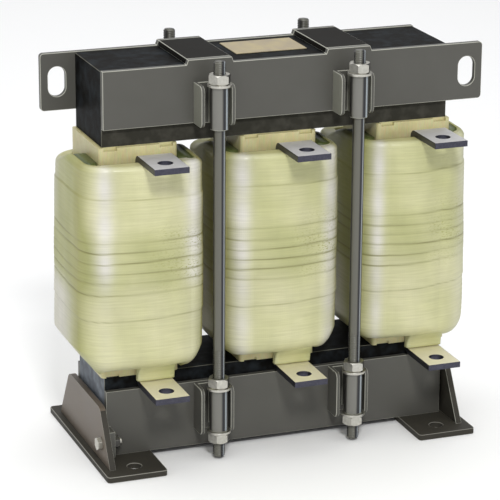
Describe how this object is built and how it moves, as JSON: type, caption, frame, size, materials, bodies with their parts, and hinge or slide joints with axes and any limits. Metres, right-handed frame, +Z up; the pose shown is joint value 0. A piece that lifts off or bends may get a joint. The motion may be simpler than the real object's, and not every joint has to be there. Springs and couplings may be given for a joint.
{
  "type": "iron-core reactor",
  "caption": "Iron-core reactor for a drive's output: resin-taped coils on gapped limbs between clamped yokes, with flat bolt terminals, lifting lugs and bolt-down feet.",
  "frame": {"origin": "on the floor, in the middle of the foot holes", "axes": "+X along the yokes to the end of the front lifting lug, +Z up; the terminals point to -Y"},
  "size_m": [0.359, 0.173, 0.3365],
  "materials": {
    "core_varnish": "satin black varnish over stacked core sheet",
    "insulating_board": "matt cream insulating board",
    "winding_metal": "varnished copper conductor",
    "coil_tape": "half-gloss resin over woven glass tape, pale yellow-green",
    "tinned_terminal": "matt tin plate",
    "grey_paint": "half-gloss dark grey paint on sheet steel",
    "sleeve_paint": "half-gloss grey paint on steel tube",
    "rod_steel": "dulled zinc plate on threaded rod",
    "zinc_plate": "bright zinc plate",
    "bare_plate": "satin, blank"
  },
  "bodies": {
    "root": {"upper_yoke": "core_varnish", "lower_yoke": "core_varnish", "gap_spacers": "insulating_board", "upper_clamp_front": "grey_paint", "upper_clamp_rear": "grey_paint", "lower_clamp_front": "grey_paint", "lower_clamp_rear": "grey_paint", "upper_strap_left": "grey_paint", "upper_strap_right": "grey_paint", "lower_strap_left": "grey_paint", "lower_strap_right": "grey_paint", "upper_brackets": "grey_paint", "lower_brackets": "grey_paint", "upper_sleeves": "sleeve_paint", "lower_sleeves": "sleeve_paint", "tie_rods": "rod_steel", "upper_nuts": "zinc_plate", "upper_washers": "zinc_plate", "lower_nuts": "zinc_plate", "lower_washers": "zinc_plate", "foot_base_left": "grey_paint", "foot_base_right": "grey_paint", "foot_end_left": "grey_paint", "foot_end_right": "grey_paint", "foot_bolts": "zinc_plate", "foot_nuts": "zinc_plate", "rating_plate": "bare_plate", "limb_left": "core_varnish", "former_left": "insulating_board", "winding_left": "winding_metal", "coil_tape_left": "coil_tape", "upper_terminal_left": "tinned_terminal", "lower_terminal_left": "tinned_terminal", "limb_middle": "core_varnish", "former_middle": "insulating_board", "winding_middle": "winding_metal", "coil_tape_middle": "coil_tape", "upper_terminal_middle": "tinned_terminal", "lower_terminal_middle": "tinned_terminal", "limb_right": "core_varnish", "former_right": "insulating_board", "winding_right": "winding_metal", "coil_tape_right": "coil_tape", "upper_terminal_right": "tinned_terminal", "lower_terminal_right": "tinned_terminal"}
  },
  "joints": []
}
